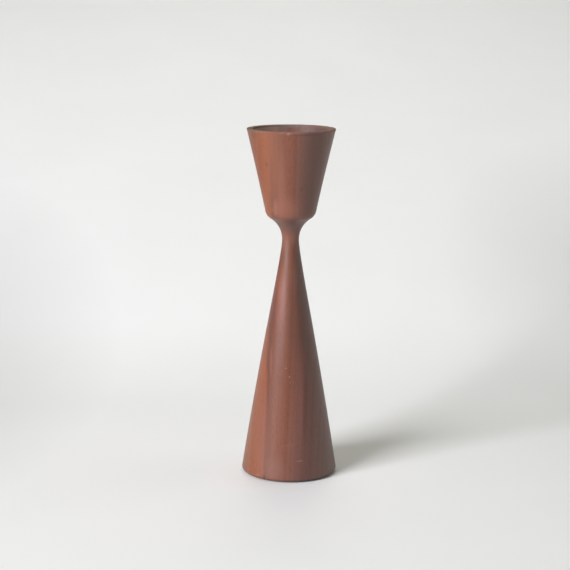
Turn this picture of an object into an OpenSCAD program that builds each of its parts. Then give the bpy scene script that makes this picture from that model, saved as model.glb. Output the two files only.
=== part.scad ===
// Turned teak pen stand: a flared, hollowed cup is dowelled to a waisted cone foot.
// A steel slug is let into the foot from below, under a felt pad.
// Millimetres, +Z up, origin at the centre of the felt face that rests on the desk.

/* [Cup] */
// Outside diameter at the rim, before its edge is softened
rim_d = 45.5; // [38:0.1:60]
// Outside diameter at the arris, where the cup sits on the foot, before it is rounded
arris_d = 25.2; // [20:0.1:34]
// Height of the cup from the arris to the rim
cup_h = 44.5; // [36:0.5:70]
// How far the cup's side curves in from a straight line
cup_hollow = 0.2; // [0:0.05:0.6]
// Thickness of the cup's wall, measured level
cup_wall = 3.2; // [2:0.1:5]
// Radius between the wall and the floor of the hollow
floor_corner_r = 4; // [1:0.5:6]
// Radius of the softened edges on both sides of the rim
rim_edge_r = 0.3; // [0.2:0.1:0.8]
// Wood left between the dowel's socket and the floor of the hollow
floor_skin = 2; // [1:0.25:6]

/* [Foot] */
// Largest diameter of the foot
foot_d = 49.4; // [42:0.2:70]
// Radius of the rounded edge round the underside
foot_edge_r = 1.6; // [0.6:0.1:3]
// How far the cone's side swells out from a straight line
side_swell = 0.55; // [0.1:0.05:2]
// Diameter of the neck
neck_d = 8.7; // [7.5:0.1:14]
// Height of the neck above the desk
neck_z = 123; // [90:1:180]
// Distance below the neck at which the cone's own line would reach the neck's diameter
neck_ease = 5.4; // [3:0.1:12]
// Height over which the cone's side sweeps in towards that point
sweep_h = 27; // [10:0.5:45]
// Height of the cove and its flare from the neck up to the arris
cove_h = 12.5; // [9:0.5:24]
// Length of the straight flare between the cove and the arris
flare_l = 3.2; // [2:0.1:6]
// Radius that rounds the arris over from the flare into the cup's side
arris_round_r = 5.4; // [1:0.1:7]

/* [Dowel] */
// Diameter of the dowel
dowel_d = 5; // [4:0.5:6]
// Length of the dowel
dowel_l = 30; // [20:1:40]
// Length of the dowel that stands in the cup
dowel_in_cup = 8; // [5:0.5:12]
// Chamfer on each end of the dowel
dowel_chamfer = 0.6; // [0.2:0.1:1]
// Number of glue flutes round the dowel
flute_count = 12; // [6:1:16]
// Depth of each glue flute
flute_depth = 0.25; // [0.1:0.05:0.4]
// Gap between the dowel and its socket on each side
dowel_clear = 0.05; // [0.02:0.01:0.2]
// Room left for glue beyond each end of the dowel
glue_room = 0.5; // [0.2:0.1:1.5]

/* [Underside] */
// Width of the bare wooden ring round the felt pad
foot_ring = 3; // [1.5:0.25:6]
// Depth of the recess that holds the felt pad
pad_recess = 1; // [0.5:0.1:2]
// How far the felt pad stands out of its recess
pad_proud = 0.5; // [0.2:0.1:1]
// Gap between the felt pad and the wall of its recess
pad_clear = 0.1; // [0.05:0.05:0.3]
// Diameter of the steel slug
slug_d = 24; // [16:0.5:28]
// Height of the steel slug
slug_h = 16; // [8:0.5:24]
// Chamfer on both ends of the steel slug
slug_chamfer = 0.8; // [0.3:0.1:1.5]
// Gap between the steel slug and its bore on each side
slug_clear = 0.1; // [0.05:0.05:0.3]
// How far the steel slug lies above the floor of the felt's recess
slug_sink = 0.3; // [0.1:0.1:1]

/* [Hidden] */
$fn = 96;
// Points on a long curve of a turned profile
curve_steps = 16;
// Points on a small rounded edge
edge_steps = 6;
// Half of a twist drill's point angle
drill_half_angle = 59;
// Overlap that keeps a cut clear of the face it starts from
cut_over = 1;

// Places on the axis and on the profile, each as [radius, height]
neck = [neck_d / 2, neck_z];
arris = neck + [(arris_d - neck_d) / 2, cove_h];
rim = arris + [(rim_d - arris_d) / 2, cup_h];

// Foot: its rounded edge, the swelled side and the sweep into the neck
foot_face_z = pad_proud;
edge_centre = [foot_d / 2 - foot_edge_r, foot_face_z + foot_edge_r];
cone_tip = neck - [0, neck_ease];
cone_fall = cone_tip - [foot_d / 2, edge_centre[1]];
side_lean = atan2(-cone_fall[0], cone_fall[1]) - atan(4 * side_swell / norm(cone_fall));
side_start = edge_centre + foot_edge_r * [cos(side_lean), sin(side_lean)];
side_line = cone_tip - side_start;
side_out = [side_line[1], -side_line[0]] / norm(side_line);
sweep_t = 1 - sweep_h / side_line[1];
sweep_from = side(sweep_t);
sweep_dir = side_run(sweep_t);
sweep_knee = [neck[0], sweep_from[1] + sweep_dir[1] * (neck[0] - sweep_from[0]) / sweep_dir[0]];

// Cove: an arc that is upright at the neck and runs out into a straight flare towards the arris
cove_out = arris[0] - neck[0];
flare_lean = 2 * atan2(cove_out, cove_h + flare_l);
cove_r = (cove_h * sin(flare_lean) - cove_out * cos(flare_lean)) / (1 - cos(flare_lean));
cove_centre = neck + [cove_r, 0];

// Rounded arris: a circle that touches the flare and the cup's side, cut by the glued joint
arris_lean = cup_lean(arris[1]);
arris_half = (flare_lean - arris_lean) / 2;
arris_r = min(arris_round_r, flare_l / tan(arris_half));
arris_centre = arris
    + arris_r * [-cos(flare_lean), sin(flare_lean)]
    - arris_r * tan(arris_half) * [sin(flare_lean), cos(flare_lean)];
joint_turn = asin((arris[1] - arris_centre[1]) / arris_r);

// Dowel and its sockets
socket_d = dowel_d + 2 * dowel_clear;
socket_tip = socket_d / 2 / tan(drill_half_angle);
cup_socket_l = dowel_in_cup + glue_room;
foot_socket_l = dowel_l - dowel_in_cup + glue_room;
dowel_z = arris[1] + dowel_in_cup - dowel_l;
floor_z = arris[1] + cup_socket_l + socket_tip + floor_skin;

// Underside
recess_d = foot_d - 2 * foot_edge_r - 2 * foot_ring;
recess_z = foot_face_z + pad_recess;
slug_z = recess_z + slug_sink;

// Points of a circular arc, with its angles counted from the outward radius
function arc(centre, radius, from, to, steps = curve_steps) =
    [for (i = [0 : steps])
        let (turn = from + (to - from) * i / steps)
        centre + radius * [cos(turn), sin(turn)]];

// Point on the cone's swelled side, from the foot's edge at 0 to the cone's tip at 1
function side(t) = side_start + side_line * t + side_out * 4 * side_swell * t * (1 - t);

// Direction of the side at the same point
function side_run(t) = side_line + side_out * 4 * side_swell * (1 - 2 * t);

// Point on the sweep that carries the side into the upright neck
function sweep(t) = pow(1 - t, 2) * sweep_from + 2 * t * (1 - t) * sweep_knee + t * t * neck;

// Share of the cup's height at a height above the desk
function cup_t(z) = (z - arris[1]) / cup_h;

// Outside radius of the cup at a height
function cup_r(z) = arris[0] + (rim[0] - arris[0]) * cup_t(z) - 4 * cup_hollow * cup_t(z) * (1 - cup_t(z));

// Lean of the cup's side from upright at a height
function cup_lean(z) = atan2(rim[0] - arris[0] - 4 * cup_hollow * (1 - 2 * cup_t(z)), cup_h);

// Points along the cup's side between two heights, set in from it by a wall
function cup_side(from, to, wall) =
    [for (i = [1 : curve_steps - 1])
        let (z = from + (to - from) * i / curve_steps)
        [cup_r(z) - wall, z]];

// Centre of a round that touches the side at a height; a negative radius puts it towards the axis
function round_centre(z, wall, radius) = [cup_r(z) - wall + radius / cos(cup_lean(z)), z];

// Turned cup with an even wall and a rounded floor corner
module pen_cup() {
    side_z = arris_centre[1] - arris_r * sin(arris_lean);
    edge_z = rim[1] - rim_edge_r;
    corner_z = floor_z + floor_corner_r;
    edge_lean = cup_lean(edge_z);
    outline = concat(
        [[0, arris[1]]],
        arc(arris_centre, arris_r, joint_turn, -arris_lean),
        cup_side(side_z, edge_z, 0),
        arc(round_centre(edge_z, 0, -rim_edge_r), rim_edge_r, -edge_lean, 90, edge_steps),
        arc(round_centre(edge_z, cup_wall, rim_edge_r), rim_edge_r, 90, 180 - edge_lean, edge_steps),
        cup_side(edge_z, corner_z, cup_wall),
        arc(round_centre(corner_z, cup_wall, -floor_corner_r), floor_corner_r, -cup_lean(corner_z), -90),
        [[0, floor_z]]
    );
    color("sienna")
        difference() {
            rotate_extrude()
                polygon(outline);
            translate([0, 0, arris[1]])
                drilled_socket(cup_socket_l);
        }
}

// Turned foot: rounded edge, swelled cone, sweep, neck, cove and flare in one profile
module cone_foot() {
    outline = concat(
        [[0, foot_face_z]],
        arc(edge_centre, foot_edge_r, -90, side_lean, edge_steps),
        [for (i = [1 : curve_steps]) side(sweep_t * i / curve_steps)],
        [for (i = [1 : curve_steps]) sweep(i / curve_steps)],
        arc(cove_centre, cove_r, 180, 180 - flare_lean),
        arc(arris_centre, arris_r, -flare_lean, joint_turn, edge_steps),
        [[0, arris[1]]]
    );
    color("sienna")
        difference() {
            rotate_extrude()
                polygon(outline);
            translate([0, 0, foot_face_z - cut_over])
                cylinder(d = recess_d, h = pad_recess + cut_over);
            translate([0, 0, recess_z - cut_over])
                cylinder(d = slug_d + 2 * slug_clear, h = slug_sink + slug_h + cut_over);
            translate([0, 0, arris[1]])
                mirror([0, 0, 1])
                    drilled_socket(foot_socket_l);
        }
}

// Socket for the dowel, going up from its mouth, with the cone that a twist drill leaves
module drilled_socket(depth) {
    translate([0, 0, -cut_over])
        cylinder(d = socket_d, h = depth + cut_over);
    translate([0, 0, depth])
        cylinder(d1 = socket_d, d2 = 0, h = socket_tip);
}

// Round bar with both ends chamfered, standing on the origin
module chamfered_bar(d, h, chamfer) {
    r = d / 2;
    rotate_extrude()
        polygon([[0, 0], [r - chamfer, 0], [r, chamfer], [r, h - chamfer], [r - chamfer, h], [0, h]]);
}

// Fluted dowel that holds the cup to the foot and runs down through the neck
module joint_dowel() {
    color("burlywood")
        translate([0, 0, dowel_z])
            difference() {
                chamfered_bar(dowel_d, dowel_l, dowel_chamfer);
                for (i = [0 : flute_count - 1])
                    rotate(i * 360 / flute_count)
                        translate([dowel_d / 2, 0, -cut_over])
                            cylinder(r = flute_depth, h = dowel_l + 2 * cut_over);
            }
}

// Steel slug that weighs the foot down, seated against the end of its bore
module ballast_slug() {
    color("lightsteelblue")
        translate([0, 0, slug_z])
            chamfered_bar(slug_d, slug_h, slug_chamfer);
}

// Felt pad that covers the slug and stands on the desk
module felt_pad() {
    color("darkolivegreen")
        cylinder(d = recess_d - 2 * pad_clear, h = pad_recess + pad_proud);
}

pen_cup();
cone_foot();
joint_dowel();
ballast_slug();
felt_pad();
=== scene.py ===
import math
import bpy
from mathutils import Matrix, Vector


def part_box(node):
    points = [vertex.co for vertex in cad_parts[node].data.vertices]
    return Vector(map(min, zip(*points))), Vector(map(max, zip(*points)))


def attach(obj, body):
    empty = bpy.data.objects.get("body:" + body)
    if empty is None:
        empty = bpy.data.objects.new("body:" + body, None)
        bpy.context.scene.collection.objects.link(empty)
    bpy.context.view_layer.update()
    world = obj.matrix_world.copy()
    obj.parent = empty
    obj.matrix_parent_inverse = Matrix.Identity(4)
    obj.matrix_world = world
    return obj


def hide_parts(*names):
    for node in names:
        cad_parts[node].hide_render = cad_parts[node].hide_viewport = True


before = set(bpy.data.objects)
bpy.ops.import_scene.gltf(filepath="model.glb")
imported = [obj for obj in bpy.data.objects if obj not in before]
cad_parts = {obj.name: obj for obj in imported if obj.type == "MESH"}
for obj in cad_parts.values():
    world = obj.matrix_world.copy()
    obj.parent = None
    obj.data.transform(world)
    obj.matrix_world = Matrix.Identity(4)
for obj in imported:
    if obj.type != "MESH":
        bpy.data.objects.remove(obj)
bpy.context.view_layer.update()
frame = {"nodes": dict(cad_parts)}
print("frame loaded:", ", ".join(frame["nodes"]))

mm = 0.001  # metres in a millimetre; pieces and materials are given in mm and degrees
noiseLow, noiseHigh = 0.3, 0.7  # noise seldom leaves this range
scene = bpy.context.scene


# sRGB hex to the linear colour that the shaders take
def toLinear(hexColour):
    channels = [int(hexColour[i:i + 2], 16) / 255 for i in (0, 2, 4)]
    return [c / 12.92 if c <= 0.04045 else ((c + 0.055) / 1.055) ** 2.4 for c in channels] + [1]


# adds a node, sets its properties, then fills its inputs with values or links
def addNode(tree, kind, inputs=None, **settings):
    node = tree.nodes.new(kind)
    for name, value in settings.items():
        setattr(node, name, value)
    for key, value in (inputs or {}).items():
        if isinstance(value, bpy.types.NodeSocket):
            tree.links.new(value, node.inputs[key])
        else:
            node.inputs[key].default_value = value
    return node


# points of an arc as (radius, height), angles in degrees from the outward radius
def arc(centre, radius, start, end, steps):
    turns = [math.radians(start + (end - start) * i / steps) for i in range(steps + 1)]
    return [Vector((centre[0] + radius * math.cos(t), centre[1] + radius * math.sin(t))) for t in turns]


# points of a curve given as a function of 0 to 1
def along(curve, steps):
    return [curve(i / steps) for i in range(steps + 1)]


# share of oil and of wear on a stretch of a turned profile
finishes = {
    "shown": (1.0, 0.0),
    "worn": (1.0, 1.0),
    "inside": (0.4, 0.0),
    "hidden": (0.0, 0.0),
}


# the lathe: turns a profile round the Z axis and closes the seam, with faint gouge rings or a nap
def makeLathe():
    weld = 1e-6  # metres, for the seam and the poles
    tree = bpy.data.node_groups.new("lathe", "GeometryNodeTree")
    tree.interface.new_socket("Profile", in_out="INPUT", socket_type="NodeSocketGeometry")
    for name, kind, value in (
        ("Segments", "NodeSocketInt", 96),
        ("Ring Depth", "NodeSocketFloat", 0.0),
        ("Ring Pitch", "NodeSocketFloat", 0.006),
        ("Nap Depth", "NodeSocketFloat", 0.0),
        ("Nap Size", "NodeSocketFloat", 0.001),
        ("Seed", "NodeSocketFloat", 0.0),
        ("Sharp Angle", "NodeSocketFloat", math.radians(40)),
        ("Material", "NodeSocketMaterial", None),
    ):
        socket = tree.interface.new_socket(name, in_out="INPUT", socket_type=kind)
        if value is not None:
            socket.default_value = value
    tree.interface.new_socket("Piece", in_out="OUTPUT", socket_type="NodeSocketGeometry")

    given = addNode(tree, "NodeGroupInput").outputs
    size = addNode(tree, "GeometryNodeAttributeDomainSize", {"Geometry": given["Profile"]})
    count = size.outputs["Point Count"]
    columns = addNode(tree, "ShaderNodeMath", {0: given["Segments"], 1: 1.0}).outputs[0]
    grid = addNode(tree, "GeometryNodeMeshGrid", {
        "Size X": 1.0, "Size Y": 1.0, "Vertices X": columns, "Vertices Y": count}).outputs["Mesh"]

    # X and Y of the grid, from -0.5 to 0.5, give the angle and the profile point; the last column lies
    # on the first
    place = addNode(tree, "GeometryNodeInputPosition").outputs[0]
    flat = addNode(tree, "ShaderNodeSeparateXYZ", {0: place}).outputs
    turn = addNode(tree, "ShaderNodeMath", {0: flat["X"], 1: 2 * math.pi}, operation="MULTIPLY").outputs[0]
    last = addNode(tree, "ShaderNodeMath", {0: count, 1: 1.0}, operation="SUBTRACT").outputs[0]
    share = addNode(tree, "ShaderNodeMath", {0: flat["Y"], 1: 0.5}).outputs[0]
    row = addNode(tree, "ShaderNodeMath", {0: share, 1: last}, operation="MULTIPLY").outputs[0]
    index = addNode(tree, "FunctionNodeFloatToInt", {0: row}, rounding_mode="ROUND").outputs[0]
    point = addNode(tree, "GeometryNodeSampleIndex", {
        "Geometry": given["Profile"], "Value": place, "Index": index}, data_type="FLOAT_VECTOR").outputs[0]
    turned = addNode(tree, "ShaderNodeVectorRotate", {
        "Vector": point, "Angle": turn}, rotation_type="Z_AXIS").outputs[0]

    # what the profile says of its finish goes to the surface too
    shape = grid
    for name in ("oiled", "wear"):
        value = addNode(tree, "GeometryNodeInputNamedAttribute", {"Name": name}).outputs["Attribute"]
        finish = addNode(tree, "GeometryNodeSampleIndex", {
            "Geometry": given["Profile"], "Value": value, "Index": index}).outputs[0]
        shape = addNode(tree, "GeometryNodeStoreNamedAttribute", {
            "Geometry": shape, "Name": name, "Value": finish}).outputs[0]
    shape = addNode(tree, "GeometryNodeSetPosition", {"Geometry": shape, "Position": turned}).outputs[0]
    shape = addNode(tree, "GeometryNodeMergeByDistance", {"Geometry": shape, "Distance": weld}).outputs[0]

    # gouge rings follow the height alone, nap goes every way, and both only cut inwards on the shown side
    height = addNode(tree, "ShaderNodeSeparateXYZ", {0: place}).outputs["Z"]
    ringStep = addNode(tree, "ShaderNodeMath", {
        0: height, 1: given["Ring Pitch"]}, operation="DIVIDE").outputs[0]
    ringPlace = addNode(tree, "ShaderNodeMath", {0: ringStep, 1: given["Seed"]}).outputs[0]
    rings = addNode(tree, "ShaderNodeTexNoise", {
        "W": ringPlace, "Scale": 1.0, "Detail": 2.0}, noise_dimensions="1D").outputs[0]
    napScale = addNode(tree, "ShaderNodeMath", {
        0: 1.0, 1: given["Nap Size"]}, operation="DIVIDE").outputs[0]
    nap = addNode(tree, "ShaderNodeTexNoise", {
        "Vector": place, "W": given["Seed"], "Scale": napScale, "Detail": 2.0},
        noise_dimensions="4D").outputs[0]
    moves = []
    for noise, depth in ((rings, "Ring Depth"), (nap, "Nap Depth")):
        inward = addNode(tree, "ShaderNodeMath", {0: noise, 1: 1.0}, operation="SUBTRACT").outputs[0]
        cut = addNode(tree, "ShaderNodeMath", {0: inward, 1: given[depth]}, operation="MULTIPLY")
        moves.append(cut.outputs[0])
    both = addNode(tree, "ShaderNodeMath", {0: moves[0], 1: moves[1]}).outputs[0]
    shown = addNode(tree, "GeometryNodeInputNamedAttribute", {"Name": "oiled"}).outputs["Attribute"]
    move = addNode(tree, "ShaderNodeMath", {0: both, 1: shown}, operation="MULTIPLY").outputs[0]
    normal = addNode(tree, "GeometryNodeInputNormal").outputs[0]
    offset = addNode(tree, "ShaderNodeVectorMath", {0: normal, "Scale": move}, operation="SCALE").outputs[0]
    shape = addNode(tree, "GeometryNodeSetPosition", {"Geometry": shape, "Offset": offset}).outputs[0]

    # round forms shade smooth, the crisp corners of sockets and faces stay sharp
    shape = addNode(tree, "GeometryNodeSetShadeSmooth", {"Geometry": shape}).outputs[0]
    bend = addNode(tree, "GeometryNodeInputMeshEdgeAngle").outputs["Unsigned Angle"]
    crisp = addNode(tree, "ShaderNodeMath", {
        0: bend, 1: given["Sharp Angle"]}, operation="GREATER_THAN").outputs[0]
    shape = addNode(tree, "GeometryNodeSetShadeSmooth", {
        "Geometry": shape, "Selection": crisp, "Shade Smooth": False}, domain="EDGE").outputs[0]
    shape = addNode(tree, "GeometryNodeRealizeInstances", {"Geometry": shape}).outputs[0]
    shape = addNode(tree, "GeometryNodeSetMaterial", {
        "Geometry": shape, "Material": given["Material"]}).outputs[0]
    addNode(tree, "NodeGroupOutput", {"Piece": shape})
    return tree


latheTree = makeLathe()


# turns one piece: runs is a list of (points in mm, finish) from axis to axis
def turnPiece(name, runs, material, inputs):
    points = [p * mm for run, finish in runs for p in run]
    edges = [(i, i + 1) for i in range(len(points) - 1)]
    profile = bpy.data.meshes.new(name)
    profile.from_pydata([(p.x, 0, p.y) for p in points], edges, [])
    for column, key in enumerate(("oiled", "wear")):
        values = [finishes[finish][column] for run, finish in runs for p in run]
        profile.attributes.new(key, "FLOAT", "POINT").data.foreach_set("value", values)
    blank = bpy.data.objects.new(name + "_blank", profile)
    scene.collection.objects.link(blank)
    lathe = blank.modifiers.new("lathe", "NODES")
    lathe.node_group = latheTree
    sockets = {s.name: s.identifier for s in latheTree.interface.items_tree if s.in_out == "INPUT"}
    for key, value in {**inputs, "Material": material}.items():
        lathe[sockets[key]] = value
    turned = blank.evaluated_get(bpy.context.evaluated_depsgraph_get())
    mesh = bpy.data.meshes.new_from_object(turned)
    blank.modifiers.remove(lathe)
    bpy.data.objects.remove(blank)
    mesh.name = name
    piece = bpy.data.objects.new(name, mesh)
    scene.collection.objects.link(piece)
    print(name, "turned:", len(mesh.polygons), "faces")
    return piece


# presses small dents into a turned piece, all of one dent in one direction
def dentPiece(piece, dents):
    for turn, height, radius, reach, depth in dents:
        turn = math.radians(turn)
        spot = Vector((radius * math.sin(turn), -radius * math.cos(turn), height)) * mm
        struck = []
        for vertex in piece.data.vertices:
            near = 1 - (vertex.co - spot).length / (reach * mm)
            if near > 0:
                struck.append((vertex, near ** 2 * (3 - 2 * near)))
        blow = sum((vertex.normal * share for vertex, share in struck), Vector()).normalized()
        for vertex, share in struck:
            vertex.co -= blow * depth * mm * share


# a new material: its node tree and the place on the object in mm
def newMaterial(name):
    material = bpy.data.materials.new(name)
    material.use_nodes = True
    tree = material.node_tree
    tree.nodes.clear()
    metres = addNode(tree, "ShaderNodeTexCoord").outputs["Object"]
    place = addNode(tree, "ShaderNodeMapping", {
        "Vector": metres, "Scale": (1 / mm, 1 / mm, 1 / mm)}).outputs[0]
    return material, tree, place


# ends a material in its shader
def shade(tree, inputs):
    surface = addNode(tree, "ShaderNodeBsdfPrincipled", inputs).outputs[0]
    addNode(tree, "ShaderNodeOutputMaterial", {"Surface": surface})


# noise drawn out to a size in mm, spread evenly from low to high
def streaks(tree, place, size, low, high, detail=2.0):
    drawn = addNode(tree, "ShaderNodeMapping", {
        "Vector": place, "Scale": [1 / length for length in size]}).outputs[0]
    noise = addNode(tree, "ShaderNodeTexNoise", {
        "Vector": drawn, "Scale": 1.0, "Detail": detail}).outputs[0]
    return addNode(tree, "ShaderNodeMapRange", {
        "Value": noise, "From Min": noiseLow, "From Max": noiseHigh,
        "To Min": low, "To Max": high}).outputs[0]


# lays one colour over another by a share
def layOver(tree, share, under, over):
    return addNode(tree, "ShaderNodeMix", {0: share, 6: under, 7: over}, data_type="RGBA").outputs[2]


# oiled teak, turned and sanded: upright ring planes pass from an orange side over a thin dark line
# and a pinkish band to a grey-brown side, which is in part painted shade on the side away from the window;
# fine dark pores, satin sheen, a dry and greyer inside with painted light on its left
teak = {
    "ringTurn": (0.0, -1.27, 2.9),  # the blank on the lathe, degrees about each axis
    "wander": 0.3,
    "wanderSize": (40.0, 40.0, 60.0),
    "spread": 26.0,  # half width of the figure
    # the darker, greyer colours towards the right end are in part painted shade on the side away from the
    # window
    # distance across the ring planes, colour
    "figureAndShade": (
        (-26.0, "764f3d"), (-20.0, "885138"), (-15.0, "905337"), (-12.7, "8e543a"), (-11.6, "744536"),
        (-10.2, "774838"), (-8.8, "7c4b39"), (-6.0, "7f4b38"), (-3.0, "804b37"), (-0.5, "7a4937"),
        (2.5, "764c3f"), (5.5, "724b42"), (8.5, "6c473e"), (12.0, "69483f"), (17.0, "6c4c44"),
        (26.0, "70544e")),
    "bands": ((9.0, 0.05), (2.2, 0.06), (0.7, 0.04)),  # width of the growth bands, change of tone
    "fibre": (0.5, 0.5, 14.0),
    "fibreTone": 0.06,
    "fibreRough": 0.04,
    "pore": (0.8, 0.8, 5.0),  # drawn about twice the true size so that they show at all
    "poreEdge": (0.1, 0.28),
    "poreColour": "45281f",
    "poreShare": 0.35,
    "poreRough": 0.15,
    "poreRelief": -2.0,  # against a fibre's height
    "bumpStrength": 0.25,
    "bumpDepth": 0.03,
    "bare": (0.86, 0.96),  # saturation and value of the dry inside
    # painted light: a pale tone on the left of the inside, where the lamps leave it too dark
    "insidePaintedLight": (-16.0, -1.0, "c0aca2", 0.68),  # on the inside, from one place across the cup to the other
    "worn": "87695c",
    "wornSize": (2.0, 2.0, 2.0),
    "wornShare": (0.4, 0.8),
    "roughness": (0.75, 0.42),  # dry, oiled
    "sheen": (0.5, 0.15),  # polished, rubbed
    "spotCore": 0.6,  # a soft spot has its full strength from this share of the way in
    # turn from the front, height, half sizes and strength of the spots that have lost some of their sheen:
    # one flank of cup and neck, the lower front of the foot
    "rubbed": (
        (-85.0, 160.0, (9.0, 22.0, 60.0), 0.75), (-88.0, 105.0, (4.0, 8.0, 26.0), 0.8),
        (-25.0, 40.0, (14.0, 14.0, 34.0), 0.25)),
    # height, reach, colour and strength of the darker rings: painted contact shade along the foot's bottom
    # edge, a band that hands have darkened on the cone, a greyer band at the neck, painted shade in the
    # cove under the arris and a dark line at the joint
    "shadeAndDarkBands": (
        (0.5, 1.6, "3d2a24", 0.7), (68.0, 45.0, "451d15", 0.13), (118.0, 18.0, "5c4c45", 0.18),
        (130.5, 5.5, "54443e", 0.4), (135.3, 0.25, "3d2a24", 0.3)),
    # turn from the front, height, half sizes, colour and strength, each laid over the ones before it:
    # streaks and stains first, then specks and scratches, last a few streaks and faint changes of tone;
    # some of them are painted highlights and painted shade, each noted where it stands
    "marksAndPaintedLight": (
        (-58.0, 84.0, (3.8, 3.8, 26.0), "63382e", 0.55),
        (-75.0, 112.0, (2.2, 2.6, 22.0), "663426", 0.8),
        # painted highlight: a pinkish sheen on the upper cone, left of the middle
        (-32.0, 90.0, (3.5, 3.5, 24.0), "945c54", 0.35),
        (-26.0, 169.0, (4.7, 14.0, 38.0), "87523b", 0.8),
        (-10.0, 140.0, (8.0, 8.0, 9.0), "9a6450", 0.35),
        # painted shade: darker on the cup's right side, away from the window
        (35.0, 160.0, (10.0, 14.0, 34.0), "65493e", 0.5),
        (18.0, 82.0, (6.0, 6.0, 30.0), "5f4338", 0.4),
        (40.0, 75.0, (5.0, 5.0, 30.0), "4f3730", 0.4),
        (-58.0, 56.0, (2.5, 2.5, 9.0), "9c5636", 0.35),
        (-41.0, 61.0, (0.9, 5.0, 10.0), "8a5747", 0.6),
        (-51.5, 62.0, (1.2, 6.0, 14.0), "5e3c34", 0.4),
        # painted shade: darker on the right of the neck and upper cone
        (50.0, 100.0, (6.0, 6.0, 36.0), "553f38", 0.65),
        (-72.0, 160.0, (8.0, 12.0, 44.0), "7c4222", 0.4),
        (-59.0, 177.6, (4.0, 4.0, 2.4), "6a4226", 0.5),
        (-105.0, 180.0, (7.0, 12.0, 2.5), "6f6762", 0.35),
        (-150.0, 180.2, (13.0, 10.0, 1.3), "7b6c67", 0.7),
        (-70.0, 180.0, (6.0, 9.0, 1.2), "6a6259", 0.5),
        # painted shadow: a dark line just under the rim's right half
        (20.0, 178.6, (10.0, 10.0, 0.5), "4a342d", 0.45),
        # painted highlight: lighter on the upper cone, left of the middle
        (-36.0, 100.0, (2.5, 2.5, 18.0), "a3705e", 0.22),
        (-1.0, 97.0, (1.3, 1.3, 22.0), "6a4336", 0.4),
        (-35.0, 122.0, (3.0, 3.0, 9.0), "9c6f5f", 0.2),
        (28.0, 124.0, (2.2, 4.0, 6.0), "8c6455", 0.35),
        (18.0, 104.0, (3.0, 3.0, 12.0), "7d5a4e", 0.25),
        (17.5, 38.0, (1.7, 9.0, 34.0), "835347", 0.35),
        (26.5, 38.0, (1.3, 9.0, 34.0), "50362f", 0.35),
        (180.0, 180.0, (18.0, 8.0, 2.5), "80706b", 0.6),
        (-51.0, 72.0, (0.6, 0.6, 0.9), "5a2a22", 0.7),
        (-40.8, 163.0, (1.1, 1.1, 1.7), "66482a", 0.65),
        (-46.0, 139.7, (1.3, 1.3, 1.6), "a34e34", 0.6),
        (19.5, 150.9, (0.9, 0.9, 2.0), "5c3a2c", 0.5),
        (1.9, 135.0, (1.7, 1.7, 0.35), "57301f", 0.7),
        (-31.0, 2.2, (0.9, 0.9, 1.1), "43241c", 0.7),
        (-40.3, 2.7, (1.8, 1.8, 0.3), "b8836d", 0.6),
        (0.0, 54.1, (0.5, 0.5, 0.6), "b98f7d", 0.6),
        (1.0, 51.1, (0.4, 0.4, 0.6), "b08573", 0.5),
        (-6.8, 58.5, (0.8, 0.8, 0.35), "a97f6d", 0.5),
        (14.0, 11.4, (2.4, 2.4, 0.4), "a07a6c", 0.5),
        (-1.0, 19.2, (3.6, 2.0, 0.3), "8a6052", 0.5),
        (4.0, 20.2, (2.6, 2.0, 0.25), "8a6052", 0.4),
        (-4.0, 179.3, (1.2, 1.2, 1.1), "a87f71", 0.45),
        (-46.5, 143.0, (1.3, 6.0, 10.0), "6e4433", 0.4),
        (-34.4, 140.5, (1.6, 6.0, 6.0), "9a6654", 0.4),
        (-35.5, 155.0, (1.0, 8.0, 20.0), "744333", 0.45),
        (-16.0, 153.0, (2.6, 8.0, 26.0), "935e4b", 0.35),
        (-42.0, 22.0, (4.2, 12.0, 36.0), "86584a", 0.5),
        (-18.0, 5.0, (8.0, 8.0, 10.0), "8a6052", 0.35),
        # painted shade: darker under the cove on the right
        (90.0, 132.5, (6.5, 40.0, 6.5), "6a585a", 0.4),
    ),
}


# share of a soft spot on the outside, at a turn from the front and a height
def spotShare(tree, place, turn, height, size, strength):
    radius = cupRadius(height) if height > jointHeight else coneRadius(height)
    turn = math.radians(turn)
    spot = (radius * math.sin(turn), -radius * math.cos(turn), height)
    near = addNode(tree, "ShaderNodeMapping", {
        "Vector": place, "Location": [-v / length for v, length in zip(spot, size)],
        "Scale": [1 / length for length in size]}).outputs[0]
    glow = addNode(tree, "ShaderNodeTexGradient", {"Vector": near}, gradient_type="SPHERICAL")
    return addNode(tree, "ShaderNodeMapRange", {
        "Value": glow.outputs["Fac"], "From Max": teak["spotCore"], "To Max": strength}).outputs[0]


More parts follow.
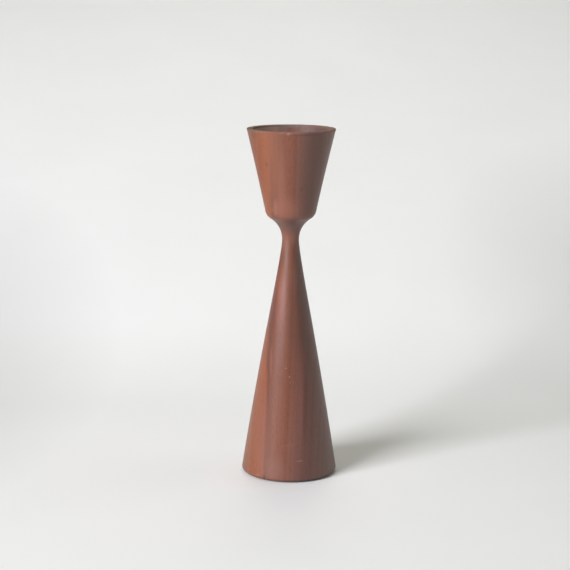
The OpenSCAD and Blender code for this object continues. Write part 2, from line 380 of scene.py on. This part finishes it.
def oiledTeak():
    material, tree, place = newMaterial("oiledTeak")
    blank = addNode(tree, "ShaderNodeMapping", {
        "Vector": place, "Rotation": [math.radians(t) for t in teak["ringTurn"]]}).outputs[0]

    # the ring planes waver a little along the stem
    across = addNode(tree, "ShaderNodeSeparateXYZ", {0: blank}).outputs["X"]
    waver = streaks(tree, blank, teak["wanderSize"], -teak["wander"], teak["wander"])
    ring = addNode(tree, "ShaderNodeMath", {0: across, 1: waver}).outputs[0]
    share = addNode(tree, "ShaderNodeMapRange", {
        "Value": ring, "From Min": -teak["spread"], "From Max": teak["spread"]}).outputs[0]
    figureAndShade = addNode(tree, "ShaderNodeValToRGB", {"Fac": share})
    stops = figureAndShade.color_ramp.elements
    stops[0].color = toLinear(teak["figureAndShade"][0][1])
    stops[1].color = toLinear(teak["figureAndShade"][-1][1])
    for distance, colour in teak["figureAndShade"][1:-1]:
        stops.new((distance + teak["spread"]) / (2 * teak["spread"])).color = toLinear(colour)

    # growth bands and fibres lighten and darken it
    fibre = streaks(tree, blank, teak["fibre"], -1, 1, detail=3.0)
    tone = addNode(tree, "ShaderNodeMath", {
        0: fibre, 1: teak["fibreTone"], 2: 1.0}, operation="MULTIPLY_ADD").outputs[0]
    for width, depth in teak["bands"]:
        step = addNode(tree, "ShaderNodeMath", {0: ring, 1: width}, operation="DIVIDE").outputs[0]
        band = addNode(tree, "ShaderNodeTexNoise", {
            "W": step, "Scale": 1.0, "Detail": 1.0}, noise_dimensions="1D").outputs[0]
        change = addNode(tree, "ShaderNodeMapRange", {
            "Value": band, "From Min": noiseLow, "From Max": noiseHigh,
            "To Min": 1 - depth, "To Max": 1 + depth}).outputs[0]
        tone = addNode(tree, "ShaderNodeMath", {0: tone, 1: change}, operation="MULTIPLY").outputs[0]
    colour = addNode(tree, "ShaderNodeVectorMath", {
        0: figureAndShade.outputs["Color"], "Scale": tone}, operation="SCALE").outputs[0]

    # pores: short dark dashes along the stem, dots where the wood is cut across
    drawn = addNode(tree, "ShaderNodeMapping", {
        "Vector": blank, "Scale": [1 / length for length in teak["pore"]]}).outputs[0]
    cell = addNode(tree, "ShaderNodeTexVoronoi", {"Vector": drawn, "Scale": 1.0}).outputs["Distance"]
    pore = addNode(tree, "ShaderNodeMapRange", {
        "Value": cell, "From Min": teak["poreEdge"][0], "From Max": teak["poreEdge"][1],
        "To Min": 1.0, "To Max": 0.0}).outputs[0]
    poreShare = addNode(tree, "ShaderNodeMath", {
        0: pore, 1: teak["poreShare"]}, operation="MULTIPLY").outputs[0]
    colour = layOver(tree, poreShare, colour, toLinear(teak["poreColour"]))

    # painted shade in the cove and along the foot's bottom edge, a dark line along the joint, darker bands
    # on the cone and at the neck
    level = addNode(tree, "ShaderNodeSeparateXYZ", {0: place}).outputs["Z"]
    for height, span, darkColour, strength in teak["shadeAndDarkBands"]:
        gap = addNode(tree, "ShaderNodeMath", {0: level, 1: height}, operation="SUBTRACT").outputs[0]
        far = addNode(tree, "ShaderNodeMath", {0: gap}, operation="ABSOLUTE").outputs[0]
        darkening = addNode(tree, "ShaderNodeMapRange", {
            "Value": far, "From Max": span, "To Min": strength, "To Max": 0.0},
            interpolation_type="SMOOTHSTEP").outputs[0]
        colour = layOver(tree, darkening, colour, toLinear(darkColour))

    # the inside saw little oil and is greyer, painted light lightens its left side, the rim is worn
    oiled = addNode(tree, "ShaderNodeAttribute", attribute_name="oiled").outputs["Fac"]
    wear = addNode(tree, "ShaderNodeAttribute", attribute_name="wear").outputs["Fac"]
    bare = addNode(tree, "ShaderNodeHueSaturation", {
        "Color": colour, "Saturation": teak["bare"][0], "Value": teak["bare"][1]}).outputs[0]
    dryShare = addNode(tree, "ShaderNodeMapRange", {
        "Value": oiled, "From Min": finishes["inside"][0], "To Min": 1.0, "To Max": 0.0}).outputs[0]
    colour = layOver(tree, dryShare, colour, bare)
    litFrom, litTo, litColour, litShare = teak["insidePaintedLight"]
    aside = addNode(tree, "ShaderNodeSeparateXYZ", {0: place}).outputs["X"]
    insidePaintedLight = addNode(tree, "ShaderNodeMapRange", {
        "Value": aside, "From Min": litFrom, "From Max": litTo,
        "To Min": litShare, "To Max": 0.0}).outputs[0]
    laid = addNode(tree, "ShaderNodeMath", {0: insidePaintedLight, 1: dryShare}, operation="MULTIPLY").outputs[0]
    colour = layOver(tree, laid, colour, toLinear(litColour))
    rub = streaks(tree, place, teak["wornSize"], *teak["wornShare"])
    wornShare = addNode(tree, "ShaderNodeMath", {0: wear, 1: rub}, operation="MULTIPLY").outputs[0]
    colour = layOver(tree, wornShare, colour, toLinear(teak["worn"]))

    for turn, height, size, markColour, strength in teak["marksAndPaintedLight"]:
        markShare = spotShare(tree, place, turn, height, size, strength)
        colour = layOver(tree, markShare, colour, toLinear(markColour))

    # oil gives the sheen, and wear, fibres, pores and rubbing take some of it away
    finish = addNode(tree, "ShaderNodeMath", {0: oiled, 1: wear}, operation="SUBTRACT").outputs[0]
    dull = addNode(tree, "ShaderNodeMapRange", {
        "Value": finish, "To Min": teak["roughness"][0], "To Max": teak["roughness"][1]}).outputs[0]
    matt = addNode(tree, "ShaderNodeMath", {
        0: fibre, 1: teak["fibreRough"], 2: dull}, operation="MULTIPLY_ADD").outputs[0]
    roughness = addNode(tree, "ShaderNodeMath", {
        0: pore, 1: teak["poreRough"], 2: matt}, operation="MULTIPLY_ADD").outputs[0]
    relief = addNode(tree, "ShaderNodeMath", {
        0: pore, 1: teak["poreRelief"], 2: fibre}, operation="MULTIPLY_ADD").outputs[0]
    bump = addNode(tree, "ShaderNodeBump", {
        "Strength": teak["bumpStrength"], "Distance": teak["bumpDepth"] * mm, "Height": relief}).outputs[0]
    rubbed = 0.0
    for spot in teak["rubbed"]:
        rubbed = addNode(tree, "ShaderNodeMath", {0: rubbed, 1: spotShare(tree, place, *spot)}).outputs[0]
    sheen = addNode(tree, "ShaderNodeMapRange", {
        "Value": rubbed, "To Min": teak["sheen"][0], "To Max": teak["sheen"][1]}).outputs[0]
    shade(tree, {"Base Color": colour, "Roughness": roughness, "Normal": bump, "Specular IOR Level": sheen})
    return material


# planed beech rod: pale straw colour with short darker flecks along the grain
beech = {
    "colours": ("cfa877", "dfc095"),
    "grain": (0.6, 0.6, 12.0),
    "fleckColour": "a97f54",
    "fleck": (0.35, 0.35, 2.5),
    "fleckShare": 0.5,
    "roughness": (0.5, 0.68),
}


def planedBeech():
    material, tree, place = newMaterial("planedBeech")
    grain = streaks(tree, place, beech["grain"], 0, 1)
    fleck = streaks(tree, place, beech["fleck"], 0, beech["fleckShare"])
    wood = layOver(tree, grain, *[toLinear(c) for c in beech["colours"]])
    colour = layOver(tree, fleck, wood, toLinear(beech["fleckColour"]))
    roughness = streaks(tree, place, beech["grain"], *beech["roughness"])
    shade(tree, {"Base Color": colour, "Roughness": roughness})
    return material


# bright turned steel: fine tool rings round the axis and a thin uneven oil film
steel = {
    "colours": ("aeb2b6", "c4c7ca"),
    "ringPitch": 0.3927,  # the feed of the tool
    "ringWobble": 0.6,
    "ringStrength": 0.3,
    "ringDepth": 0.02,
    "filmColour": "a39e93",
    "film": (6.0, 6.0, 6.0),
    "filmShare": 0.5,
    "smear": (1.0, 1.0, 1.0),
    "roughness": (0.24, 0.4),
}


def turnedSteel():
    material, tree, place = newMaterial("turnedSteel")
    ringScale = math.pi / 10 / steel["ringPitch"]  # rings stand pi / 10 apart at scale 1
    rings = addNode(tree, "ShaderNodeTexWave", {
        "Vector": place, "Scale": ringScale, "Distortion": steel["ringWobble"], "Detail": 2.0},
        wave_type="RINGS", rings_direction="Z").outputs["Fac"]
    film = streaks(tree, place, steel["film"], 0, steel["filmShare"])
    metal = layOver(tree, rings, *[toLinear(c) for c in steel["colours"]])
    colour = layOver(tree, film, metal, toLinear(steel["filmColour"]))
    roughness = streaks(tree, place, steel["smear"], *steel["roughness"])
    relief = addNode(tree, "ShaderNodeBump", {
        "Strength": steel["ringStrength"], "Distance": steel["ringDepth"] * mm, "Height": rings}).outputs[0]
    shade(tree, {"Base Color": colour, "Roughness": roughness, "Normal": relief, "Metallic": 1.0})
    return material


# pressed wool felt: moss green, matted fibres, no shine
felt = {
    "colours": ("2f3727", "4a5340"),
    "hair": (0.35, 0.35, 0.35),
    "hairStrength": 0.6,
    "hairDepth": 0.15,
    "patchColour": "3b3d2c",
    "patch": (5.0, 5.0, 5.0),
    "patchShare": 0.4,
    "roughness": 0.95,
}


def pressedFelt():
    material, tree, place = newMaterial("pressedFelt")
    hair = streaks(tree, place, felt["hair"], 0, 1, detail=4.0)
    patch = streaks(tree, place, felt["patch"], 0, felt["patchShare"])
    wool = layOver(tree, hair, *[toLinear(c) for c in felt["colours"]])
    colour = layOver(tree, patch, wool, toLinear(felt["patchColour"]))
    relief = addNode(tree, "ShaderNodeBump", {
        "Strength": felt["hairStrength"], "Distance": felt["hairDepth"] * mm, "Height": hair}).outputs[0]
    shade(tree, {"Base Color": colour, "Roughness": felt["roughness"], "Normal": relief})
    return material


# matt white paper with a hardly visible cloudiness and painted shade: darker a little at both sides where
# it bends up, and on the right over the far part of the stand's shadow
paper = {
    "colours": ("f6f6f4", "f8f8f6"),
    "cloud": (90.0, 90.0, 90.0),
    "roughness": 0.9,
    "paintedShadeColour": "d0d0ce",
    # centre and half sizes on the floor, strength
    "paintedShade": (
        ((-260.0, 165.0), (150.0, 330.0), 0.9),
        ((240.0, 330.0), (130.0, 260.0), 0.62),
        ((170.0, 50.0), (130.0, 450.0), 0.26)),
}


def whitePaper():
    material, tree, place = newMaterial("whitePaper")
    cloud = streaks(tree, place, paper["cloud"], 0, 1)
    colour = layOver(tree, cloud, *[toLinear(c) for c in paper["colours"]])
    # painted shade: each patch darkens the paper towards its centre
    for centre, size, strength in paper["paintedShade"]:
        near = addNode(tree, "ShaderNodeMapping", {
            "Vector": place, "Location": [-v / length for v, length in zip(centre, size)] + [0],
            "Scale": [1 / length for length in size] + [0]}).outputs[0]
        glow = addNode(tree, "ShaderNodeTexGradient", {"Vector": near}, gradient_type="SPHERICAL")
        share = addNode(tree, "ShaderNodeMath", {
            0: glow.outputs["Fac"], 1: strength}, operation="MULTIPLY").outputs[0]
        colour = layOver(tree, share, colour, toLinear(paper["paintedShadeColour"]))
    shade(tree, {"Base Color": colour, "Roughness": paper["roughness"]})
    return material


# boxes of the CAD solids in mm
footLow, footHigh = [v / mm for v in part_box("cone_foot")]
cupLow, cupHigh = [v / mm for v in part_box("pen_cup")]
dowelLow, dowelHigh = [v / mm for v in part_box("joint_dowel")]
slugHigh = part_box("ballast_slug")[1] / mm
padLow, padHigh = [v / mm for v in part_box("felt_pad")]

# the foot: rounded edge, swelled cone, sweep into the neck, cove and half of the rounded arris
# a dent is its turn from the front, height, radius there, reach and depth
foot = {
    "edgeRadius": 1.6,
    "swell": 0.55,
    "neckRadius": 4.35,
    "neckHeight": 123.0,
    "neckEase": 5.4,
    "sweepHeight": 27.0,
    "flare": 3.2,
    "arrisRadius": 12.6,
    "arrisRound": 5.4,
    "socketRadius": 2.55,
    "socketRoom": 0.5,  # past each end of the dowel, for glue
    "drillPoint": 59.0,  # half the angle of a twist drill's tip
    "boreRadius": 12.1,
    "recessRadius": 20.1,
    "dents": (
        (-31.0, 1.8, 24.5, 1.2, 0.3), (14.5, 11.1, 23.2, 1.0, 0.12), (96.0, 1.4, 24.5, 1.4, 0.3)),
    "lathe": {"Segments": 360, "Ring Depth": 0.02 * mm, "Ring Pitch": 5 * mm, "Seed": 3.0},
}

# the cup: other half of the arris, slightly hollow sides, rounded rim, even wall, round corner at the floor
cup = {
    "rimRadius": 22.75,
    "hollow": 0.2,
    "wall": 3.2,
    "floorHeight": 147.53,
    "floorCorner": 4.0,
    "rimEdge": 0.3,
    "dents": (
        (-3.5, 179.8, 22.4, 1.3, 0.45), (-62.0, 180.0, 22.0, 1.0, 0.2), (118.0, 179.9, 22.3, 1.2, 0.3)),
    "lathe": {"Segments": 360, "Ring Depth": 0.02 * mm, "Ring Pitch": 5 * mm, "Seed": 11.0},
}

jointHeight = cupLow.z
rimHeight = cupHigh.z
drillTip = foot["socketRadius"] / math.tan(math.radians(foot["drillPoint"]))

neck = Vector((foot["neckRadius"], foot["neckHeight"]))
arris = Vector((foot["arrisRadius"], jointHeight))
rim = Vector((cup["rimRadius"], rimHeight))


def cupShare(height):
    return (height - arris.y) / (rim.y - arris.y)


# a hollow or a swell is a parabola, deepest halfway
def cupRadius(height):
    t = cupShare(height)
    return arris.x + (rim.x - arris.x) * t - 4 * cup["hollow"] * t * (1 - t)


# near enough to set marks on the foot; past the neck it only runs on towards the axis
def coneRadius(height):
    t = height / (foot["neckHeight"] - foot["neckEase"])
    return footHigh.x + (foot["neckRadius"] - footHigh.x) * t + 4 * foot["swell"] * t * (1 - t)


# how far the cup's side leans from upright, in degrees
def cupLean(height):
    outward = rim.x - arris.x - 4 * cup["hollow"] * (1 - 2 * cupShare(height))
    return math.degrees(math.atan2(outward, rim.y - arris.y))


# the cove runs out into a straight flare, and a circle rounds the arris between flare and cup
coveOut = arris.x - neck.x
coveHeight = arris.y - neck.y
flareLean = 2 * math.atan2(coveOut, coveHeight + foot["flare"])
flareRise = coveHeight * math.sin(flareLean) - coveOut * math.cos(flareLean)
coveRadius = flareRise / (1 - math.cos(flareLean))
coveCentre = neck + Vector((coveRadius, 0))
flareUp = Vector((math.sin(flareLean), math.cos(flareLean)))
flareIn = Vector((-math.cos(flareLean), math.sin(flareLean)))
arrisLean = math.radians(cupLean(arris.y))
arrisCentre = arris + foot["arrisRound"] * (flareIn - math.tan((flareLean - arrisLean) / 2) * flareUp)
jointTurn = math.degrees(math.asin((arris.y - arrisCentre.y) / foot["arrisRound"]))

teakMaterial = oiledTeak()
beechMaterial = planedBeech()
steelMaterial = turnedSteel()
feltMaterial = pressedFelt()
paperMaterial = whitePaper()
print("materials made")


def turnFoot():
    faceHeight = footLow.z
    edge = Vector((footHigh.x - foot["edgeRadius"], faceHeight + foot["edgeRadius"]))
    coneTip = neck - Vector((0, foot["neckEase"]))
    fall = coneTip - Vector((footHigh.x, edge.y))
    lean = math.degrees(math.atan2(-fall.x, fall.y) - math.atan(4 * foot["swell"] / fall.length))
    leanTurn = math.radians(lean)
    start = edge + foot["edgeRadius"] * Vector((math.cos(leanTurn), math.sin(leanTurn)))
    line = coneTip - start
    out = Vector((line.y, -line.x)).normalized()

    def side(t):
        return start + line * t + out * 4 * foot["swell"] * t * (1 - t)

    sweepShare = 1 - foot["sweepHeight"] / line.y
    sweepFrom = side(sweepShare)
    sweepRun = line + out * 4 * foot["swell"] * (1 - 2 * sweepShare)
    knee = Vector((neck.x, sweepFrom.y + sweepRun.y * (neck.x - sweepFrom.x) / sweepRun.x))

    def sweep(t):
        return (1 - t) ** 2 * sweepFrom + 2 * t * (1 - t) * knee + t * t * neck

    boreTop = slugHigh.z
    recessTop = padHigh.z
    socketEnd = dowelLow.z - foot["socketRoom"]
    flareTurn = math.degrees(flareLean)
    runs = [
        ([Vector((0, boreTop)), Vector((foot["boreRadius"], boreTop))], "hidden"),
        ([Vector((foot["boreRadius"], recessTop)), Vector((foot["recessRadius"], recessTop))], "hidden"),
        ([Vector((foot["recessRadius"], faceHeight))], "hidden"),
        (arc(edge, foot["edgeRadius"], -90, lean, steps=12), "shown"),
        (along(lambda t: side(t * sweepShare), steps=64)[1:], "shown"),
        (along(sweep, steps=24)[1:], "shown"),
        (arc(coveCentre, coveRadius, 180, 180 - flareTurn, steps=16)[1:], "shown"),
        (arc(arrisCentre, foot["arrisRound"], -flareTurn, jointTurn, steps=8), "shown"),
        ([Vector((foot["socketRadius"], z)) for z in (jointHeight, socketEnd)], "hidden"),
        ([Vector((0, socketEnd - drillTip))], "hidden"),
    ]
    piece = turnPiece("turned_foot", runs, teakMaterial, foot["lathe"])
    dentPiece(piece, foot["dents"])
    return piece


def turnCup():
    sideStart = arrisCentre.y - foot["arrisRound"] * math.sin(arrisLean)
    edgeHeight = rim.y - cup["rimEdge"]
    edgeLean = cupLean(edgeHeight)
    cornerHeight = cup["floorHeight"] + cup["floorCorner"]
    edgeIn = cup["rimEdge"] / math.cos(math.radians(edgeLean))
    outer = Vector((cupRadius(edgeHeight) - edgeIn, edgeHeight))
    inner = Vector((cupRadius(edgeHeight) - cup["wall"] + edgeIn, edgeHeight))
    cornerLean = cupLean(cornerHeight)
    cornerIn = cup["floorCorner"] / math.cos(math.radians(cornerLean))
    corner = Vector((cupRadius(cornerHeight) - cup["wall"] - cornerIn, cornerHeight))
    socketEnd = dowelHigh.z + foot["socketRoom"]

    def wall(low, high, inset):
        return lambda t: Vector((cupRadius(low + (high - low) * t) - inset, low + (high - low) * t))

    runs = [
        ([Vector((0, socketEnd + drillTip)), Vector((foot["socketRadius"], socketEnd))], "hidden"),
        ([Vector((foot["socketRadius"], jointHeight))], "hidden"),
        (arc(arrisCentre, foot["arrisRound"], jointTurn, -math.degrees(arrisLean), steps=12), "shown"),
        (along(wall(sideStart, edgeHeight, 0), steps=48)[1:-1], "shown"),
        (arc(outer, cup["rimEdge"], -edgeLean, 90, steps=8), "worn"),
        (arc(inner, cup["rimEdge"], 90, 180 - edgeLean, steps=8), "worn"),
        (along(wall(edgeHeight, cornerHeight, cup["wall"]), steps=32)[1:-1], "inside"),
        (arc(corner, cup["floorCorner"], -cornerLean, -90, steps=12), "inside"),
        ([Vector((0, cup["floorHeight"]))], "inside"),
    ]
    piece = turnPiece("turned_cup", runs, teakMaterial, cup["lathe"])
    dentPiece(piece, cup["dents"])
    return piece


# the felt disc: soft edges and a nap, smooth where it is glued into the foot
pad = {
    "softEdge": 0.3,
    "lathe": {"Segments": 180, "Nap Depth": 0.12 * mm, "Nap Size": 0.8 * mm, "Seed": 5.0},
}


def cutFelt():
    radius = padHigh.x
    soft = pad["softEdge"]
    low = Vector((radius - soft, padLow.z + soft))
    high = Vector((radius - soft, padHigh.z - soft))
    runs = [
        (along(lambda t: Vector(((radius - soft) * t, padLow.z)), steps=40), "shown"),
        (arc(low, soft, -90, 0, steps=5)[1:], "shown"),
        (arc(high, soft, 0, 90, steps=5), "shown"),
        (along(lambda t: Vector(((radius - soft) * (1 - t), padHigh.z)), steps=40)[1:], "hidden"),
    ]
    return turnPiece("felt_disc", runs, feltMaterial, pad["lathe"])


pieces = {
    "cone_foot": (turnFoot(), "teak"),
    "pen_cup": (turnCup(), "teak"),
    "felt_pad": (cutFelt(), "felt"),
}
for node, (piece, slot) in pieces.items():
    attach(piece, "root")
    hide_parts(node)
for node, material in (("joint_dowel", beechMaterial), ("ballast_slug", steelMaterial)):
    for slot in frame["nodes"][node].material_slots:
        slot.material = material
print("pieces in place:", ", ".join(pieces))

# the stage, in metres: a paper sweep that lies flat, then bends up into a long slope behind the stand
stage = {
    "halfWidth": 6.0,
    "front": -6.0,
    "bendStart": 0.12,
    "bendRadius": 0.5,
    "slope": 17.0,
    "slopeLength": 4.0,
}


def makeStage():
    centre = (stage["bendStart"], stage["bendRadius"])
    slope = math.radians(stage["slope"])
    bend = arc(centre, stage["bendRadius"], -90, stage["slope"] - 90, steps=24)
    line = [Vector((stage["front"], 0))] + bend
    line.append(line[-1] + stage["slopeLength"] * Vector((math.cos(slope), math.sin(slope))))
    points = [(side * stage["halfWidth"], p.x, p.y) for p in line for side in (-1, 1)]
    faces = [(2 * i, 2 * i + 1, 2 * i + 3, 2 * i + 2) for i in range(len(line) - 1)]
    mesh = bpy.data.meshes.new("paper_sweep")
    mesh.from_pydata(points, [], faces)
    mesh.shade_smooth()
    mesh.materials.append(paperMaterial)
    sweep = bpy.data.objects.new("paper_sweep", mesh)
    scene.collection.objects.link(sweep)


makeStage()

# a window on the left, a little in front; a skylight and a strip above and behind, the strip narrow
# so that the light falls off to the sides; a pale wall on the right that fills the dark side
# turns from the front and lifts in degrees, distances and sizes in metres
studio = {
    "lamps": {
        "window": {
            "turn": -46.4, "lift": 27.0, "distance": 3.2,
            "size": (1.5, 1.6), "spread": 180.0, "power": 124.0, "colour": "f8f8ff"},
        "skylight": {
            "turn": 180.0, "lift": 60.0, "distance": 2.4,
            "size": (1.8, 1.8), "spread": 180.0, "power": 9.0, "colour": "fffff6"},
        "strip": {
            "turn": 180.0, "lift": 60.0, "distance": 1.4,
            "size": (0.3, 1.6), "spread": 60.0, "power": 0.4, "colour": "fffff6"},
        "wall": {
            "turn": 98.0, "lift": 18.0, "distance": 2.5,
            "size": (2.2, 1.6), "spread": 180.0, "power": 11.0, "colour": "fffff6"},
    },
    "roomColour": "f4f4ea",
    "roomFill": 0.138,
    "roomSeen": 0.8,
}


def lightStage():
    aim = Vector((0, 0, rimHeight * mm / 2))
    for name, lamp in studio["lamps"].items():
        turn, lift = math.radians(lamp["turn"]), math.radians(lamp["lift"])
        level = math.cos(lift)
        towards = Vector((math.sin(turn) * level, -math.cos(turn) * level, math.sin(lift)))
        light = bpy.data.lights.new(name, "AREA")
        light.shape = "RECTANGLE"
        light.size, light.size_y = lamp["size"]
        light.energy = lamp["power"]
        light.spread = math.radians(lamp["spread"])
        light.color = toLinear(lamp["colour"])[:3]
        holder = bpy.data.objects.new(name, light)
        holder.location = aim + towards * lamp["distance"]
        holder.rotation_euler = towards.to_track_quat("Z", "Y").to_euler()
        holder.visible_camera = False
        scene.collection.objects.link(holder)
    room = bpy.data.worlds.new("paleRoom")
    room.use_nodes = True
    tree = room.node_tree
    tree.nodes.clear()
    seen = addNode(tree, "ShaderNodeLightPath").outputs["Is Camera Ray"]
    strength = addNode(tree, "ShaderNodeMapRange", {
        "Value": seen, "To Min": studio["roomFill"], "To Max": studio["roomSeen"]}).outputs[0]
    glow = addNode(tree, "ShaderNodeBackground", {
        "Color": toLinear(studio["roomColour"]), "Strength": strength}).outputs[0]
    addNode(tree, "ShaderNodeOutputWorld", {"Surface": glow})
    scene.world = room
    scene.view_settings.view_transform = "Standard"


lightStage()

# the camera stands a little above the rim and looks down a little; places in mm, angles in degrees
view = {
    "lens": 98.95,
    "sensor": 36.0,
    "distance": 794.9,
    "height": 252.85,
    "pitch": 10.952,
    "roll": 0.385,
    "yaw": 0.193,
}


def placeCamera():
    camera = bpy.data.cameras.new("camera")
    camera.lens = view["lens"]
    camera.sensor_width = view["sensor"]
    holder = bpy.data.objects.new("camera", camera)
    holder.matrix_world = (
        Matrix.Translation((0, -view["distance"] * mm, view["height"] * mm))
        @ Matrix.Rotation(math.radians(view["yaw"]), 4, "Z")
        @ Matrix.Rotation(math.radians(90 - view["pitch"]), 4, "X")
        @ Matrix.Rotation(math.radians(view["roll"]), 4, "Z"))
    scene.collection.objects.link(holder)
    scene.camera = holder


placeCamera()
print("stage, light and camera set")
